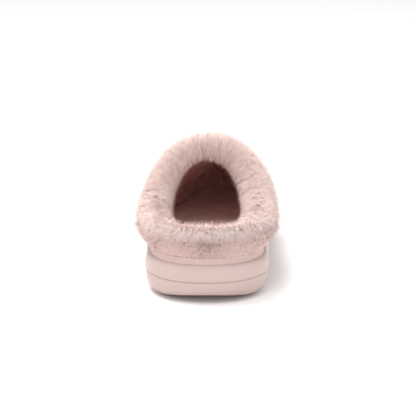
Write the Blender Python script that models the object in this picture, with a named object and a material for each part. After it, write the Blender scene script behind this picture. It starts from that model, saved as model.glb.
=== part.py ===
"""Left fluffy house slipper: a closed toe, a low padded back and a two-tier moulded sole.

The upper is lasted: every layer of it (lining, foam, stiffeners, fur) is the same grid of points on the
foot cavity's surface, moved outwards by that layer's own two depths. Columns of the grid run round the
sole's outline, from the toe tip down the outer side, round the heel and back along the inner side. Rows
run up a rib, from the sole to the topline, which is the edge of the foot opening.

Frame: +Y from heel to toe, +X to the inner side of the foot, +Z up. The origin is on the ground, under
the middle of the whole slipper's box. Lengths called "along" are measured from the back of the heel.
"""

import math

import bmesh
import bpy
import numpy as np
from mathutils import Matrix

# Sole, in plan
LENGTH = 0.268
HEEL_WIDTH = 0.090
BALL_WIDTH = 0.100
HEEL_ROUND = 0.048        # along, where the heel's rounding has reached full width
BALL_ALONG = 0.178        # along, widest place of the forefoot
TOE_ROUND = 0.098         # length of the toe's rounding
TOE_SHIFT = 0.009         # the toe tip lies this far to the inner side
SHIFT_FROM = 0.095        # along, where the sole starts to turn that way
HEEL_SQUARENESS = 2.15
TOE_SQUARENESS = 2.1

# Sole, in height (at the heel; the forefoot is thinner)
TIER_HEIGHT = 0.0157      # lower tier: the outsole
RIM_HEIGHT = 0.0272       # top of the sole's rim
CUP_FLOOR = 0.0195        # floor of the cup inside the rim
RIM_WALL = 0.005
FOREFOOT_THINNING = 0.16  # share of the sole's height lost under the forefoot
THINNING_FROM, THINNING_TO = 0.085, 0.155
TOE_SPRING = 0.007        # the toe's tip is lifted off the ground by this
SPRING_FROM = 0.205
HEEL_SPRING = 0.0025
HEEL_SPRING_TO = 0.015

# Tread
TREAD_DEPTH = 0.0016
TREAD_WIDTH = 0.0028
TREAD_PITCH = 0.0135
TREAD_MARGIN = 0.012      # solid edge left beside each groove
TREAD_FROM, TREAD_TO = 0.024, 0.200

# Gap left between pieces that touch
GAP = 0.0003

# Layers of the upper, from the foot outwards
LINING = 0.0025
FOAM = 0.0045
STIFFENER = 0.0012
FUR_DEPTH_VAMP = 0.0088
FUR_DEPTH_SIDE = 0.0140
FUR_DEPTH_HEEL = 0.0070
FUR_THIN_FROM, FUR_THIN_TO = 0.090, 0.150   # along, from the side's depth to the vamp's
FUR_EDGE = 0.0015         # depth of the fur where it is tucked in above the rand
FUR_SWELL = 0.010         # height over which the fur swells to its full depth
RAND_THICKNESS = 0.0013
RAND_HEIGHT = 0.0040
HEEL_PILE = 0.0070        # extra depth of the plush lining inside the back
HEEL_PILE_SWELL = 0.006   # height over which that plush swells to its full depth
SIDE_PILE_LOSS = 0.75     # share of that depth lost at the quarter seams

# Topline and vamp
HEEL_TOPLINE = 0.0423     # height of the topline round the back
THROAT_ALONG = 0.1225     # where the topline crosses the instep
THROAT_HEIGHT = 0.0808    # height of the cavity's ceiling there
TOPLINE_RISE_FROM = 0.058
TOPLINE_CURVE = 2.5
QUARTER_ALONG = 0.062     # seam between the vamp's fur and the back's fur
PUFF_ALONG = 0.205        # the toe puff starts here
COUNTER_ALONG = 0.075     # the heel counter ends here
RIDGE_DROP = 0.031        # fall of the ceiling from the throat to the toe
RIDGE_TO = LENGTH - 0.018  # along, where that fall ends
HEEL_FAN = 0.062          # ribs of the heel aim at this place on the middle line
TOE_FAN = LENGTH - 0.040   # ribs of the toe end here
RIB_SQUARENESS = 2.15

# Rolls along the topline
ROLL_HEIGHT_HEEL = 0.0115
ROLL_HEIGHT_THROAT = 0.0085
ROLL_INSIDE_HEEL = 0.0120   # how far the roll stands into the opening
ROLL_INSIDE_SIDE = 0.0038
ROLL_INSIDE_THROAT = 0.0020
ROLL_OUTSIDE = 0.0004       # how far it stands proud of the fur beside it
ROLL_GAP = 0.0010           # the rolls stand this far off the layers' edges
CORD_RADIUS = 0.0032        # filler cord inside the roll

# Footbed
BOARD_THICKNESS = 0.0020
FOOTBED_TOP = RIM_HEIGHT + 0.0037
PLUSH_THICKNESS = 0.0035
PLUSH_CROWN = 0.0012      # rounding of the plush's edge
BOARD_TOP = CUP_FLOOR + GAP + BOARD_THICKNESS

# Threads
SEAM_RADIUS = 0.0008
QUARTER_SEAM_RADIUS = 0.0004
QUARTER_SEAM_GAP = 0.0016
SEAM_START = 0.0015       # the lining's seam starts this far inside the roll
SEAM_END = 0.0010         # the quarter seams stop this far from the rand and the roll

# Derived depths, measured outwards from the cavity's surface
FOAM_IN = LINING + GAP
STIFFENER_IN = FOAM_IN + FOAM + GAP
FUR_IN = STIFFENER_IN + STIFFENER + GAP
CAVITY_INSET = RIM_WALL + GAP + STIFFENER_IN + STIFFENER

# Grid: columns in each zone of one side, from heel to toe, and rows above the rand
HEEL_COLUMNS = 6
COUNTER_COLUMNS = 2
SIDE_COLUMNS = 7
SIDE_CROWDING = 2.0       # the side's columns crowd towards the throat
VAMP_COLUMNS = 7
TOE_COLUMNS = 7
UPPER_ROWS = 6
ROLL_SEGMENTS = 8
CORD_SEGMENTS = 5
HALF = HEEL_COLUMNS + COUNTER_COLUMNS + SIDE_COLUMNS + VAMP_COLUMNS + TOE_COLUMNS
COLUMNS = 2 * HALF
SAMPLES = 600
HALVINGS = 30

COLLECTION = "fluffy_house_slipper"
PINK_FUR = (0.76, 0.55, 0.51)
PINK_EVA = (0.74, 0.54, 0.50)
PINK_RAND = (0.56, 0.36, 0.33)
PINK_LINING = (0.58, 0.38, 0.35)
PALE_PLUSH = (0.82, 0.70, 0.66)
FOAM_WHITE = (0.80, 0.78, 0.74)
BOARD_BROWN = (0.42, 0.33, 0.24)
BACKING_GREY = (0.60, 0.58, 0.56)
THREAD_PINK = (0.60, 0.38, 0.36)


# ---------------------------------------------------------------- scene and materials

def clear_scene():
    for obj in list(bpy.data.objects):
        bpy.data.objects.remove(obj, do_unlink=True)


def new_collection(name):
    collection = bpy.data.collections.new(name)
    bpy.context.scene.collection.children.link(collection)
    return collection


def material(name, colour, roughness, metallic=0.0):
    made = bpy.data.materials.new(name)
    made.use_nodes = True
    shader = made.node_tree.nodes["Principled BSDF"]
    shader.inputs["Base Color"].default_value = (*colour, 1.0)
    shader.inputs["Roughness"].default_value = roughness
    shader.inputs["Metallic"].default_value = metallic
    made.diffuse_color = (*colour, 1.0)
    return made


def add_object(name, data, collection, finish, smooth_angle=40):
    obj = bpy.data.objects.new(name, data)
    collection.objects.link(obj)
    data.materials.append(finish)
    if smooth_angle and obj.type == "MESH":
        data.shade_smooth()
        data.set_sharp_from_angle(angle=math.radians(smooth_angle))
    return obj


# ---------------------------------------------------------------- the sole's outline

def ease(value, start, end):
    """0 before start, 1 after end, and a smooth change between them."""
    share = np.clip((np.asarray(value, float) - start) / (end - start), 0, 1)
    return share * share * (3 - 2 * share)


def rounding(share, squareness):
    """Height of a superellipse's quarter at this share of its width."""
    share = np.clip(share, 0, 1)
    return (1 - (1 - share) ** squareness) ** (1 / squareness)


def half_width(along):
    full = HEEL_WIDTH + (BALL_WIDTH - HEEL_WIDTH) * ease(along, HEEL_ROUND, BALL_ALONG)
    heel = rounding(along / HEEL_ROUND, HEEL_SQUARENESS)
    toe = rounding((LENGTH - along) / TOE_ROUND, TOE_SQUARENESS)
    return full / 2 * heel * toe


def middle_x(along):
    return TOE_SHIFT * ease(along, SHIFT_FROM, LENGTH)


def outline_loop():
    """Dense points of the sole's outline and their inward normals: toe, outer side, heel, inner side."""
    angle = np.linspace(0, math.pi, SAMPLES + 1)
    along = LENGTH * (1 + np.cos(angle)) / 2
    outer = np.stack([middle_x(along) - half_width(along), along], 1)
    inner = np.stack([middle_x(along) + half_width(along), along], 1)[::-1]
    loop = np.concatenate([outer[:-1], inner[:-1]])
    tangent = np.roll(loop, -1, 0) - np.roll(loop, 1, 0)
    tangent /= np.linalg.norm(tangent, axis=1)[:, None]
    normal = np.stack([-tangent[:, 1], tangent[:, 0]], 1)
    return loop, normal


def zone_positions(along, arc):
    """Arc lengths of one side's columns, from the heel's middle to the toe's tip."""
    def at(place):
        return float(np.interp(place, along, arc))
    throat, quarter = at(THROAT_ALONG), at(QUARTER_ALONG)
    counter = at(COUNTER_ALONG)
    crowd = 1 - (1 - np.linspace(0, 1, SIDE_COLUMNS + 1)) ** SIDE_CROWDING
    return np.concatenate([
        np.linspace(0, quarter, HEEL_COLUMNS + 1)[:-1],
        np.linspace(quarter, counter, COUNTER_COLUMNS + 1)[:-1],
        (counter + (throat - counter) * crowd)[:-1],
        np.linspace(throat, at(PUFF_ALONG), VAMP_COLUMNS + 1)[:-1],
        np.linspace(at(PUFF_ALONG), arc[-1], TOE_COLUMNS + 1),
    ])


def column_stations():
    """Outline point and inward normal at each column; column 0 is the toe tip, column HALF the heel."""
    loop, normal = outline_loop()
    points, normals = [], []
    for side in ("outer", "inner"):
        order = np.arange(SAMPLES, -1, -1) if side == "outer" else np.arange(SAMPLES, 2 * SAMPLES + 1)
        order = order % len(loop)
        line, lean = loop[order], normal[order]
        step = np.linalg.norm(np.diff(line, axis=0), axis=1)
        arc = np.concatenate([[0], np.cumsum(step)])
        wanted = zone_positions(line[:, 1], arc)
        place = np.stack([np.interp(wanted, arc, line[:, axis]) for axis in (0, 1)], 1)
        facing = np.stack([np.interp(wanted, arc, lean[:, axis]) for axis in (0, 1)], 1)
        facing /= np.linalg.norm(facing, axis=1)[:, None]
        points.append(place)
        normals.append(facing)
    stations = np.concatenate([points[0][::-1], points[1][1:-1]])
    facings = np.concatenate([normals[0][::-1], normals[1][1:-1]])
    return stations, facings


STATIONS, FACINGS = column_stations()
THROAT_COLUMN = TOE_COLUMNS + VAMP_COLUMNS
PUFF_COLUMN = TOE_COLUMNS
COUNTER_COLUMN = HALF - HEEL_COLUMNS - COUNTER_COLUMNS
QUARTER_COLUMN = HALF - HEEL_COLUMNS
BACK_RUN = (QUARTER_COLUMN, COLUMNS - QUARTER_COLUMN)
VAMP_RUN = (COLUMNS - QUARTER_COLUMN, COLUMNS + QUARTER_COLUMN)


def sole_height(height, along):
    """Height of a level of the sole at this place: thinner under the forefoot and sprung at both ends."""
    thin = 1 - FOREFOOT_THINNING * ease(along, THINNING_FROM, THINNING_TO)
    toe = np.clip((along - SPRING_FROM) / (LENGTH - SPRING_FROM), 0, 1) ** 1.7
    heel = np.clip((HEEL_SPRING_TO - along) / HEEL_SPRING_TO, 0, 1) ** 2
    fade = 1 - np.clip(height / TIER_HEIGHT, 0, 1)
    return height * thin + TOE_SPRING * toe + HEEL_SPRING * heel * fade


# ---------------------------------------------------------------- the foot cavity's surface

def ridge_height(along):
    """Height of the cavity's ceiling over the middle line."""
    return THROAT_HEIGHT - RIDGE_DROP * ease(along, THROAT_ALONG, RIDGE_TO)


def rib_ends():
    """Foot of each rib on the sole, and its head's place in plan, on the middle line over the foot."""
    foot = STATIONS + FACINGS * CAVITY_INSET
    forward = np.abs(np.arange(COLUMNS) - HALF) - (HALF - THROAT_COLUMN)
    beside = np.interp(STATIONS[:, 1], [0, THROAT_ALONG], [HEEL_FAN, THROAT_ALONG])
    ahead = np.interp(forward, [0, THROAT_COLUMN], [THROAT_ALONG, TOE_FAN])
    along = np.where(forward < 0, beside, ahead)
    foot_height = sole_height(CUP_FLOOR + GAP, STATIONS[:, 1])
    foot = np.column_stack([foot, foot_height])
    return foot, np.column_stack([middle_x(along), along])


FOOT, HEAD = rib_ends()


def rib_point(columns, angle):
    lean = 1 - np.maximum(np.cos(angle), 0) ** (2 / RIB_SQUARENESS)
    rise = np.sin(angle) ** (2 / RIB_SQUARENESS)
    plan = FOOT[columns, :2] + (HEAD[columns] - FOOT[columns, :2]) * lean[:, None]
    height = FOOT[columns, 2] + (ridge_height(plan[:, 1]) - FOOT[columns, 2]) * rise
    return np.column_stack([plan, height])


def rib_angle(columns, height):
    """Angle up the rib at which it reaches a height."""
    low, high = np.zeros(len(columns)), np.full(len(columns), math.pi / 2)
    for _ in range(HALVINGS):
        middle = (low + high) / 2
        below = rib_point(columns, middle)[:, 2] < height
        low, high = np.where(below, middle, low), np.where(below, high, middle)
    return (low + high) / 2


def topline_height(columns):
    along = STATIONS[columns, 1]
    share = np.clip((along - TOPLINE_RISE_FROM) / (THROAT_ALONG - TOPLINE_RISE_FROM), 0, 1)
    return HEEL_TOPLINE + (THROAT_HEIGHT - HEEL_TOPLINE) * share ** TOPLINE_CURVE


def cavity_grid():
    """Points [column, row] of the cavity's surface. Rows: foot, rim, rand's top, then up to the topline."""
    columns = np.arange(COLUMNS)
    along = STATIONS[:, 1]
    at_rim = rib_angle(columns, sole_height(RIM_HEIGHT, along) + GAP)
    at_rand = rib_angle(columns, sole_height(RIM_HEIGHT, along) + GAP + RAND_HEIGHT)
    at_top = rib_angle(columns, topline_height(columns))
    open_columns = np.abs(columns - HALF) < HALF - THROAT_COLUMN
    at_top = np.where(open_columns, at_top, math.pi / 2)
    rows = [np.zeros(COLUMNS), at_rim]
    rows += [at_rand + (at_top - at_rand) * k / UPPER_ROWS for k in range(UPPER_ROWS + 1)]
    grid = np.stack([rib_point(columns, angle) for angle in rows], 1)
    return grid


GRID = cavity_grid()
RIM_ROW, RAND_ROW = 1, 2
TOP_ROW = GRID.shape[1] - 1


def mirror_column(column):
    return (COLUMNS - column) % COLUMNS


def closed_columns():
    """Columns whose ribs meet their partner's over the foot."""
    return [c for c in range(COLUMNS) if abs(c - HALF) >= HALF - THROAT_COLUMN]


def grid_normals():
    """Outward unit normals of the cavity's surface, the same on both sides of each join."""
    ahead = np.roll(GRID, -1, 0)
    face = np.cross(ahead[:, 1:] - GRID[:, :-1], GRID[:, 1:] - ahead[:, :-1])
    around = face + np.roll(face, 1, 0)
    total = np.zeros_like(GRID)
    total[:, :-1] += around
    total[:, 1:] += around
    joined = total.copy()
    for column in closed_columns():
        if column != 0:
            joined[column, TOP_ROW] += total[mirror_column(column), TOP_ROW]
    return joined / np.linalg.norm(joined, axis=2)[:, :, None]


NORMALS = grid_normals()


# ---------------------------------------------------------------- solids from the grid

def finish_mesh(name, bm):
    bmesh.ops.triangulate(bm, faces=bm.faces[:], quad_method="FIXED")
    bmesh.ops.recalc_face_normals(bm, faces=bm.faces[:])
    mesh = bpy.data.meshes.new(name)
    bm.to_mesh(mesh)
    bm.free()
    return mesh


def pull_back(points, end, distance):
    """Moves the first or last column or row of points towards the one beside it."""
    grid = points.copy() if "column" in end else points.swapaxes(0, 1).copy()
    edge, beside = (0, 1) if end.startswith("first") else (-1, -2)
    step = grid[edge] - grid[beside]
    grid[edge] -= step / np.linalg.norm(step, axis=1)[:, None] * distance
    return grid if "column" in end else grid.swapaxes(0, 1)


def pull_back_both(points, distance):
    return pull_back(pull_back(points, "first_column", distance), "last_column", distance)


def sheet_solid(name, patches, around=False):
    """Sheets of (points, normals, inner depth, outer depth), joined where they meet and given body."""
    bm = bmesh.new()
    lean = bm.verts.layers.float_vector.new("lean")
    reach = bm.verts.layers.float.new("reach")
    for points, normals, inner, outer in patches:
        columns, rows = points.shape[:2]
        verts = {}
        for column, row in np.ndindex(columns, rows):
            vert = bm.verts.new(points[column, row] + normals[column, row] * inner[column, row])
            vert[lean] = normals[column, row]
            vert[reach] = outer[column, row] - inner[column, row]
            verts[column, row] = vert
        for column in range(columns if around else columns - 1):
            beside = (column + 1) % columns
            for row in range(rows - 1):
                bm.faces.new([verts[column, row], verts[beside, row],
                              verts[beside, row + 1], verts[column, row + 1]])
    bmesh.ops.remove_doubles(bm, verts=bm.verts[:], dist=1e-6)
    lifted = bmesh.ops.extrude_face_region(bm, geom=bm.faces[:])
    for vert in lifted["geom"]:
        if isinstance(vert, bmesh.types.BMVert):
            vert.co = vert.co + vert[lean] * vert[reach]
    return finish_mesh(name, bm)


def layer_patch(first, last, rows, inner, outer, end_gap):
    """Columns first to last and the given rows of the grid, with the layer's two depths.

    A depth is a number, or a function of (columns, rows) that gives an array."""
    columns = np.arange(first, last + 1) % COLUMNS
    row_index = np.arange(rows[0], rows[1] + 1)
    points = GRID[np.ix_(columns, row_index)]
    if end_gap:
        points = pull_back_both(points, end_gap)
    shape = points.shape[:2]
    depths = [depth(columns, row_index) if callable(depth) else np.full(shape, depth)
              for depth in (inner, outer)]
    return points, NORMALS[np.ix_(columns, row_index)], *depths


def layer_mesh(name, runs, rows, inner, outer, end_gap=GAP / 2):
    """One layer of the upper over one or more runs of columns."""
    return sheet_solid(name, [layer_patch(*run, rows, inner, outer, end_gap) for run in runs])


# ---------------------------------------------------------------- depths that change over the upper

def heel_share(columns):
    """1 round the back of the heel, 0 from the counter's ends forwards."""
    return 1 - ease(np.abs(np.asarray(columns) - HALF), 1, HEEL_COLUMNS + COUNTER_COLUMNS)


def fur_depth(columns):
    thin = ease(STATIONS[columns, 1], FUR_THIN_FROM, FUR_THIN_TO)
    depth = FUR_DEPTH_SIDE + (FUR_DEPTH_VAMP - FUR_DEPTH_SIDE) * thin
    return depth + (FUR_DEPTH_HEEL - depth) * heel_share(columns)


def height_above_rand(columns, rows):
    return GRID[np.ix_(columns, rows)][:, :, 2] - GRID[columns, RAND_ROW, 2][:, None]


def fur_outside(columns, rows):
    """Depth of the fur's tips: tucked in above the rand and swelling with height."""
    share = np.clip(height_above_rand(columns, rows) / FUR_SWELL, 0, 1)
    depth = fur_depth(columns)[:, None]
    return FUR_IN + FUR_EDGE + (depth - FUR_EDGE) * np.sin(share * math.pi / 2)


def heel_pile(columns, rows):
    """Depth of the back's plush, which stands into the cavity above the footbed."""
    share = 1 - SIDE_PILE_LOSS * ease(np.abs(columns - HALF), 0, HEEL_COLUMNS)
    return -HEEL_PILE * share[:, None] * ease(height_above_rand(columns, rows), 0, HEEL_PILE_SWELL)


# ---------------------------------------------------------------- the topline's rolls

def topline_loop():
    """Columns, points, outward normals and the way into the opening, round the whole topline."""
    columns = np.arange(THROAT_COLUMN, COLUMNS - THROAT_COLUMN)
    points = GRID[columns, TOP_ROW]
    normals = NORMALS[columns, TOP_ROW]
    tangents = np.roll(points, -1, 0) - np.roll(points, 1, 0)
    rise = np.cross(normals, tangents)
    rise /= np.linalg.norm(rise, axis=1)[:, None]
    return columns, points, normals, rise


def roll_sizes(columns):
    """Depths of the roll's inner and outer edge, and its height, at each column."""
    away = np.abs(columns - HALF)
    places = [0, HEEL_COLUMNS + COUNTER_COLUMNS, HALF - THROAT_COLUMN]
    inside = -np.interp(away, places, [ROLL_INSIDE_HEEL, ROLL_INSIDE_SIDE, ROLL_INSIDE_THROAT])
    height = ROLL_HEIGHT_THROAT + (ROLL_HEIGHT_HEEL - ROLL_HEIGHT_THROAT) * heel_share(columns)
    return inside, FUR_IN + fur_depth(columns) + ROLL_OUTSIDE, height


def arch_sections(order, centre, radius, height, segments):
    """Arches that stand on the topline at the loop's points in this order."""
    _, points, normals, rise = topline_loop()
    angle = np.linspace(0, math.pi, segments + 1)
    across = centre[:, None] + radius[:, None] * np.cos(angle)
    up = ROLL_GAP + height[:, None] * np.sin(angle)
    arches = points[:, None] + normals[:, None] * across[:, :, None] + rise[:, None] * up[:, :, None]
    return arches[order]


def roll_arches(order):
    inside, outside, height = roll_sizes(topline_loop()[0])
    return arch_sections(order, (inside + outside) / 2, (outside - inside) / 2, height, ROLL_SEGMENTS)


def cord_arches(order, radius):
    count = len(topline_loop()[0])
    centre = np.full(count, (FOAM_IN + FUR_IN) / 2)
    size = np.full(count, radius)
    return arch_sections(order, centre, size, size, CORD_SEGMENTS)


def loop_order(part):
    """Indices into the topline's loop: round the back between the quarter seams, or over the throat."""
    count = COLUMNS - 2 * THROAT_COLUMN
    seam = QUARTER_COLUMN - THROAT_COLUMN
    if part == "back":
        return np.arange(seam, count - seam + 1)
    return np.arange(-seam, seam + 1) % count


def sections_mesh(name, sections):
    """A closed solid through a run of sections, each a ring of points, with its ends filled."""
    bm = bmesh.new()
    rings = [[bm.verts.new(point) for point in ring] for ring in sections]
    count = len(rings[0])
    for ring, following in zip(rings, rings[1:]):
        for k in range(count):
            beside = (k + 1) % count
            bm.faces.new([ring[k], ring[beside], following[beside], following[k]])
    bm.faces.new(rings[0])
    bm.faces.new(rings[-1])
    return finish_mesh(name, bm)


def roll_mesh(name, part):
    """A fur roll: an arch outside, with a channel under it for the filler cord."""
    outside = roll_arches(loop_order(part))
    channel = cord_arches(loop_order(part), CORD_RADIUS + GAP)
    return sections_mesh(name, pull_back_both(np.concatenate([outside, channel[:, ::-1]], 1), GAP / 2))


def cord_mesh(name, part):
    return sections_mesh(name, pull_back_both(cord_arches(loop_order(part), CORD_RADIUS), GAP))


# ---------------------------------------------------------------- lofts on the sole's columns

def outline_ring(inset, height):
    """The sole's outline, moved in by inset, at one level of the sole."""
    return np.column_stack([STATIONS + FACINGS * inset, sole_height(height, STATIONS[:, 1])])


def cavity_ring(height, clearance):
    """The cavity's outline at a level of the sole, moved in by a clearance."""
    level = sole_height(height, STATIONS[:, 1])
    columns = np.arange(COLUMNS)
    ring = rib_point(columns, rib_angle(columns, level))
    ring[:, :2] += FACINGS * clearance
    ring[:, 2] = level
    return ring


def loft_mesh(name, rings):
    """A closed solid through rings on the columns. Both ends are filled with rungs across the sole."""
    bm = bmesh.new()
    made = [[bm.verts.new(point) for point in ring] for ring in rings]
    for ring, following in zip(made, made[1:]):
        for k in range(COLUMNS):
            beside = (k + 1) % COLUMNS
            bm.faces.new([ring[k], ring[beside], following[beside], following[k]])
    for ring in (made[0], made[-1]):
        for k in range(HALF):
            corners = [ring[k], ring[k + 1], ring[mirror_column(k + 1)], ring[mirror_column(k)]]
            bm.faces.new(list(dict.fromkeys(corners)))
    return finish_mesh(name, bm)


# ---------------------------------------------------------------- the pieces

def tread_cutter(cutters):
    """Bars that press the grooves into the sole's underside."""
    bm = bmesh.new()
    for k in range(int((TREAD_TO - TREAD_FROM) / TREAD_PITCH) + 1):
        along = TREAD_FROM + k * TREAD_PITCH
        width = 2 * (float(half_width(along)) - TREAD_MARGIN)
        place = Matrix.Translation((float(middle_x(along)), along, 0))
        size = Matrix.Diagonal((width, TREAD_WIDTH, 2 * TREAD_DEPTH, 1))
        bmesh.ops.create_cube(bm, size=1, matrix=place @ size)
    mesh = bpy.data.meshes.new("tread_cutter")
    bm.to_mesh(mesh)
    bm.free()
    cutter = bpy.data.objects.new("tread_cutter", mesh)
    cutters.objects.link(cutter)
    cutter.hide_render = True
    cutter.display_type = "WIRE"
    return cutter


def make_outsole(parts, cutters):
    levels = [(0.0075, 0), (0.0040, 0.0009), (0.0018, 0.0028), (0.0009, 0.0055), (0.0006, 0.0090),
              (0.0009, TIER_HEIGHT - 0.0010), (0.0017, TIER_HEIGHT - GAP)]
    mesh = loft_mesh("outsole", [outline_ring(inset, height) for inset, height in levels])
    outsole = add_object("outsole", mesh, parts, material("outsole_eva", PINK_EVA, 0.55), 60)
    cut = outsole.modifiers.new("tread", "BOOLEAN")
    cut.operation = "DIFFERENCE"
    cut.solver = "EXACT"
    cut.object = tread_cutter(cutters)


def make_midsole(parts):
    levels = [(0.0017, TIER_HEIGHT), (0.0008, TIER_HEIGHT + 0.0007), (0.0003, TIER_HEIGHT + 0.0030),
              (0.0, (TIER_HEIGHT + RIM_HEIGHT) / 2), (0.0004, RIM_HEIGHT - 0.0022),
              (0.0014, RIM_HEIGHT - 0.0007), (0.0028, RIM_HEIGHT), (RIM_WALL, RIM_HEIGHT),
              (RIM_WALL, CUP_FLOOR)]
    mesh = loft_mesh("midsole", [outline_ring(inset, height) for inset, height in levels])
    add_object("midsole", mesh, parts, material("midsole_eva", PINK_EVA, 0.5), 50)


def make_footbed(parts):
    foam_top = FOOTBED_TOP - PLUSH_THICKNESS - GAP
    board = [cavity_ring(CUP_FLOOR + GAP, GAP), cavity_ring(BOARD_TOP, GAP)]
    foam = [cavity_ring(BOARD_TOP + GAP, GAP), cavity_ring(foam_top, GAP)]
    plush = [cavity_ring(foam_top + GAP, GAP), cavity_ring(FOOTBED_TOP - PLUSH_CROWN, GAP),
             cavity_ring(FOOTBED_TOP, 3 * PLUSH_CROWN)]
    for name, rings, colour in (("insole_board", board, BOARD_BROWN), ("footbed_foam", foam, FOAM_WHITE),
                                ("footbed_plush", plush, PALE_PLUSH)):
        add_object(name, loft_mesh(name, rings), parts, material(name, colour, 0.9))


def make_rand(parts):
    points, normals, inner, outer = layer_patch(0, COLUMNS - 1, (RIM_ROW, RAND_ROW), FUR_IN,
                                                FUR_IN + RAND_THICKNESS, 0)
    mesh = sheet_solid("rand", [(pull_back(points, "last_row", GAP), normals, inner, outer)], around=True)
    add_object("rand", mesh, parts, material("rand_textile", PINK_RAND, 0.8))


def lining_panel(name, first, last, to_side):
    """Half of the vamp's lining, kept off its partner along the middle of the foot."""
    points, normals, inner, outer = layer_patch(first, last, (0, TOP_ROW), 0, LINING, 0)
    columns = np.arange(first, last + 1) % COLUMNS
    middle = np.zeros(points.shape[:2], bool)
    middle[columns == 0] = True
    middle[np.isin(columns, closed_columns()), TOP_ROW] = True
    heel_end = "last_column" if columns[0] == 0 else "first_column"
    points = pull_back(points, heel_end, GAP / 2)
    points[middle, 0] += to_side * GAP
    return sheet_solid(name, [(points, normals, inner, outer)])


def make_linings(parts):
    finish = material("lining_fabric", PINK_LINING, 0.9)
    panels = (("vamp_lining_left", 0, QUARTER_COLUMN, -1),
              ("vamp_lining_right", COLUMNS - QUARTER_COLUMN, COLUMNS, 1))
    for name, first, last, to_side in panels:
        add_object(name, lining_panel(name, first, last, to_side), parts, finish)
    mesh = layer_mesh("heel_lining", [BACK_RUN], (0, TOP_ROW), heel_pile, LINING)
    add_object("heel_lining", mesh, parts, material("heel_plush", PALE_PLUSH, 0.95))


def make_foams(parts):
    finish = material("upper_foam", FOAM_WHITE, 0.9)
    for name, run in (("vamp_foam", VAMP_RUN), ("heel_foam", BACK_RUN)):
        mesh = layer_mesh(name, [run], (0, TOP_ROW), FOAM_IN, FOAM_IN + FOAM)
        add_object(name, mesh, parts, finish)


def make_stiffeners(parts):
    """Toe puff, heel counter, and between them the woven backing that carries the vamp's fur."""
    backing_runs = [(PUFF_COLUMN, COUNTER_COLUMN), (COLUMNS - COUNTER_COLUMN, COLUMNS - PUFF_COLUMN)]
    pieces = (("toe_puff", [(COLUMNS - PUFF_COLUMN, COLUMNS + PUFF_COLUMN)], BOARD_BROWN),
              ("heel_counter", [(COUNTER_COLUMN, COLUMNS - COUNTER_COLUMN)], BOARD_BROWN),
              ("vamp_backing", backing_runs, BACKING_GREY))
    for name, runs, colour in pieces:
        mesh = layer_mesh(name, runs, (0, TOP_ROW), STIFFENER_IN, STIFFENER_IN + STIFFENER)
        add_object(name, mesh, parts, material(name, colour, 0.85))


def make_furs(parts):
    finish = material("long_fur", PINK_FUR, 0.9)
    for name, run in (("vamp_fur", VAMP_RUN), ("heel_fur", BACK_RUN)):
        mesh = layer_mesh(name, [run], (RAND_ROW, TOP_ROW), FUR_IN, fur_outside, QUARTER_SEAM_GAP / 2)
        add_object(name, mesh, parts, finish)
    for name, part in (("collar_fur", "throat"), ("heel_collar_fur", "back")):
        add_object(name, roll_mesh(name, part), parts, finish)


def make_cords(parts):
    finish = material("filler_cord", FOAM_WHITE, 0.9)
    for name, part in (("collar_cord", "throat"), ("heel_collar_cord", "back")):
        add_object(name, cord_mesh(name, part), parts, finish)


def thread(name, points, radius, parts, finish):
    """A round thread through the points."""
    curve = bpy.data.curves.new(name, "CURVE")
    curve.dimensions = "3D"
    curve.bevel_depth = radius
    curve.bevel_resolution = 1
    curve.use_fill_caps = True
    spline = curve.splines.new("POLY")
    spline.points.add(len(points) - 1)
    for knot, point in zip(spline.points, points):
        knot.co = (*point, 1)
    return add_object(name, curve, parts, finish)


def make_threads(parts):
    finish = material("seam_thread", THREAD_PINK, 0.8)
    ridge = np.arange(THROAT_COLUMN, 0, -1)
    inside = -(SEAM_RADIUS + GAP)
    points = GRID[ridge, TOP_ROW] + NORMALS[ridge, TOP_ROW] * inside
    points = pull_back(points[:, None], "first_column", SEAM_START)[:, 0]
    thread("lining_seam", points, SEAM_RADIUS, parts, finish)
    rows = np.arange(RAND_ROW, TOP_ROW + 1)
    depth = FUR_IN + FUR_EDGE / 2
    for name, column in (("quarter_seam_left", QUARTER_COLUMN),
                         ("quarter_seam_right", COLUMNS - QUARTER_COLUMN)):
        points = (GRID[column, rows] + NORMALS[column, rows] * depth)[:, None]
        thread(name, pull_back_both(points, SEAM_END)[:, 0], QUARTER_SEAM_RADIUS, parts, finish)


def box_of(objects):
    """Lowest and highest corner of the objects, modifiers included."""
    graph = bpy.context.evaluated_depsgraph_get()
    points = []
    for obj in objects:
        shape = obj.evaluated_get(graph)
        points += [shape.matrix_world @ vert.co for vert in shape.to_mesh().vertices]
        shape.to_mesh_clear()
    return np.min(points, 0), np.max(points, 0)


def stand_on_origin(parts, cutters):
    """Parents everything to an empty that puts the slipper's box on the ground, over the origin."""
    low, high = box_of(parts.objects)
    stand = bpy.data.objects.new("slipper", None)
    for obj in list(parts.objects) + list(cutters.objects):
        obj.parent = stand
    parts.objects.link(stand)
    stand.location = (-(low[0] + high[0]) / 2, -(low[1] + high[1]) / 2, -low[2])


def main():
    clear_scene()
    parts = new_collection(COLLECTION)
    cutters = new_collection("cutters")
    make_outsole(parts, cutters)
    make_midsole(parts)
    make_rand(parts)
    make_footbed(parts)
    make_linings(parts)
    make_foams(parts)
    make_stiffeners(parts)
    make_furs(parts)
    make_cords(parts)
    make_threads(parts)
    stand_on_origin(parts, cutters)


main()
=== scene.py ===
"""Looks of the fluffy house slipper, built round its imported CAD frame.

The upper is lasted as in the CAD, on ribs that rise from the sole's outline to the middle line over the
foot, but with many more of them. A pelt (the fur's woven base) lies inside the CAD's fur solids, and combed
strands grow from it up to their surface. Columns of every grid run round the sole from the toe tip: down the
outer side, round the heel, and back along the inner side. Rows run up from the sole. Lengths called "along"
run forwards from the heel's back. All lengths are in metres.
"""

import math

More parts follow.
